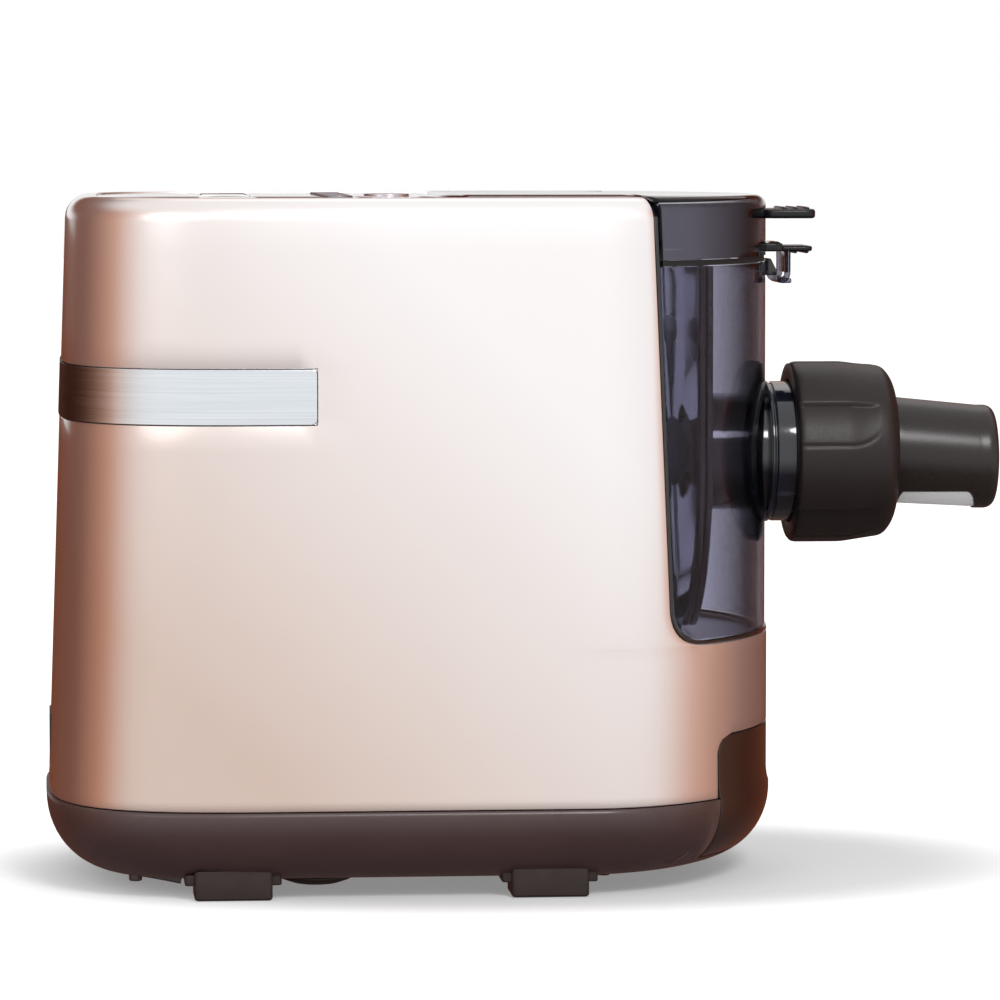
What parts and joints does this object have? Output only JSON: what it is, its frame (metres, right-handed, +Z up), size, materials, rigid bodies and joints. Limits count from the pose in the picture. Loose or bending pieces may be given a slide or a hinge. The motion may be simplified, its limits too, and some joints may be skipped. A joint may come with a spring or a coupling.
{
  "type": "electric pasta maker",
  "caption": "Counter-top electric pasta maker: mixing chamber under a hinged lid, screw extruder with die, spout and retaining nut, drawer below.",
  "frame": {"origin": "centre of the bounding box's bottom, on the plane that the four feet stand on", "axes": "+X towards the nozzle, +Z up, Y = 0 the plane of symmetry"},
  "size_m": [0.38, 0.206, 0.2692],
  "materials": {
    "champagne_shell": "pearl champagne lacquer with a soft metallic sheen",
    "brown_base": "satin dark brown moulding",
    "brown_gloss": "glossy dark brown drawer front",
    "black_panel": "piano black control panel",
    "display_window": "dark display window",
    "key_caps": "satin grey key caps",
    "brushed_band": "steel strip brushed along its length",
    "black_trim": "glossy black trim",
    "smoky_clear": "smoky clear plastic",
    "navy_collar": "glossy smoky navy collar",
    "brown_nut": "fine grained dark brown grip",
    "brown_nozzle": "satin dark brown nozzle",
    "white_plastic": "food grade white plastic",
    "paddle_grey": "pale grey paddle plastic",
    "barrel_plastic": "dark grey barrel plastic",
    "inner_plastic": "plain dark moulding",
    "plain_steel": "turned steel",
    "circuit_board": "green circuit board",
    "foot_rubber": "soft black rubber"
  },
  "bodies": {
    "body": {"housing_shell": "champagne_shell", "base_tray": "brown_base", "top_panel": "black_panel", "display_lens": "display_window", "rear_trim_band": "brushed_band", "window_rim": "black_trim", "power_inlet": "black_trim", "power_board": "circuit_board", "control_board": "circuit_board", "bulkhead": "inner_plastic", "deck_plate": "inner_plastic", "gearbox_housing": "inner_plastic", "gearbox_cover": "inner_plastic", "output_bearing": "plain_steel", "idler_pin": "plain_steel", "motor_can": "plain_steel", "motor_end_cap": "inner_plastic", "motor_cradle": "inner_plastic", "cup_tub": "smoky_clear", "front_cover": "smoky_clear", "extrusion_barrel": "barrel_plastic", "outlet_collar": "navy_collar", "latch_catch": "black_trim", "hinge_pin_left": "plain_steel", "hinge_pin_right": "plain_steel", "drawer_runner_left": "inner_plastic", "drawer_runner_right": "inner_plastic", "round_pad_left": "foot_rubber", "round_pad_right": "foot_rubber", "foot_rear_left": "foot_rubber", "foot_rear_right": "foot_rubber", "foot_front_left": "foot_rubber", "foot_front_right": "foot_rubber"},
    "lid_body": {"lid": "smoky_clear", "lid_seal": "foot_rubber", "latch_pin": "plain_steel"},
    "latch_body": {"lid_latch": "black_trim"},
    "spout_body": {"shaping_die": "white_plastic", "spout_cover": "brown_nozzle", "spout_sleeve": "white_plastic"},
    "nut_body": {"retaining_nut": "brown_nut"},
    "drive_body": {"output_shaft": "plain_steel", "drive_coupling": "plain_steel", "mixing_paddle": "paddle_grey", "screw_auger": "paddle_grey", "output_gear": "white_plastic"},
    "idler_body": {"idler_gear": "white_plastic", "idler_pinion": "plain_steel"},
    "rotor_body": {"motor_rotor": "plain_steel", "motor_pinion": "plain_steel", "cooling_fan": "inner_plastic"},
    "drawer_body": {"drawer_front": "brown_gloss", "drawer_tray": "inner_plastic"},
    "start_body": {"start_button": "key_caps"},
    "key_1_body": {"key_1": "key_caps"},
    "key_2_body": {"key_2": "key_caps"},
    "key_3_body": {"key_3": "key_caps"},
    "key_4_body": {"key_4": "key_caps"},
    "key_5_body": {"key_5": "key_caps"}
  },
  "joints": [
    {"name": "lid_open", "type": "hinge", "parent": "body", "child": "lid_body", "pos_m": [-0.03, 0, 0.263], "axis": [0, -1, 0], "range_deg": [0, 95]},
    {"name": "latch_squeeze", "type": "hinge", "parent": "lid_body", "child": "latch_body", "pos_m": [0.1008, 0, 0.2484], "axis": [0, -1, 0], "range_deg": [0, 12], "stiffness_Nm_per_rad": 0.25, "springref_deg": -5.73},
    {"name": "spout_draw", "type": "slide", "parent": "body", "child": "spout_body", "axis": [1, 0, 0], "range_m": [0, 0.009]},
    {"name": "nut_turn", "type": "hinge", "parent": "spout_body", "child": "nut_body", "pos_m": [0.107, 0, 0.166], "axis": [1, 0, 0], "range_deg": [0, 1080]},
    {"name": "drive_spin", "type": "hinge", "parent": "body", "child": "drive_body", "pos_m": [-0.086, 0, 0.166], "axis": [1, 0, 0], "continuous": true},
    {"name": "idler_spin", "type": "hinge", "parent": "body", "child": "idler_body", "pos_m": [-0.088, 0, 0.115], "axis": [1, 0, 0], "continuous": true},
    {"name": "motor_spin", "type": "hinge", "parent": "body", "child": "rotor_body", "pos_m": [-0.158, 0, 0.085], "axis": [1, 0, 0], "continuous": true},
    {"name": "drawer_slide", "type": "slide", "parent": "body", "child": "drawer_body", "axis": [1, 0, 0], "range_m": [0, 0.11]},
    {"name": "start_press", "type": "slide", "parent": "body", "child": "start_body", "axis": [0, 0, -1], "range_m": [0, 0.001], "stiffness_N_per_m": 600, "springref_m": -0.0005},
    {"name": "key_1_press", "type": "slide", "parent": "body", "child": "key_1_body", "axis": [0, 0, -1], "range_m": [0, 0.001], "stiffness_N_per_m": 500, "springref_m": -0.0005},
    {"name": "key_2_press", "type": "slide", "parent": "body", "child": "key_2_body", "axis": [0, 0, -1], "range_m": [0, 0.001], "stiffness_N_per_m": 500, "springref_m": -0.0005},
    {"name": "key_3_press", "type": "slide", "parent": "body", "child": "key_3_body", "axis": [0, 0, -1], "range_m": [0, 0.001], "stiffness_N_per_m": 500, "springref_m": -0.0005},
    {"name": "key_4_press", "type": "slide", "parent": "body", "child": "key_4_body", "axis": [0, 0, -1], "range_m": [0, 0.001], "stiffness_N_per_m": 500, "springref_m": -0.0005},
    {"name": "key_5_press", "type": "slide", "parent": "body", "child": "key_5_body", "axis": [0, 0, -1], "range_m": [0, 0.001], "stiffness_N_per_m": 500, "springref_m": -0.0005}
  ],
  "couplings": [
    {"joint": "spout_draw", "follows": "nut_turn", "m_per_rad": 0.00047746},
    {"joint": "idler_spin", "follows": "drive_spin", "ratio": -2.9231},
    {"joint": "motor_spin", "follows": "drive_spin", "ratio": 7.7063}
  ]
}
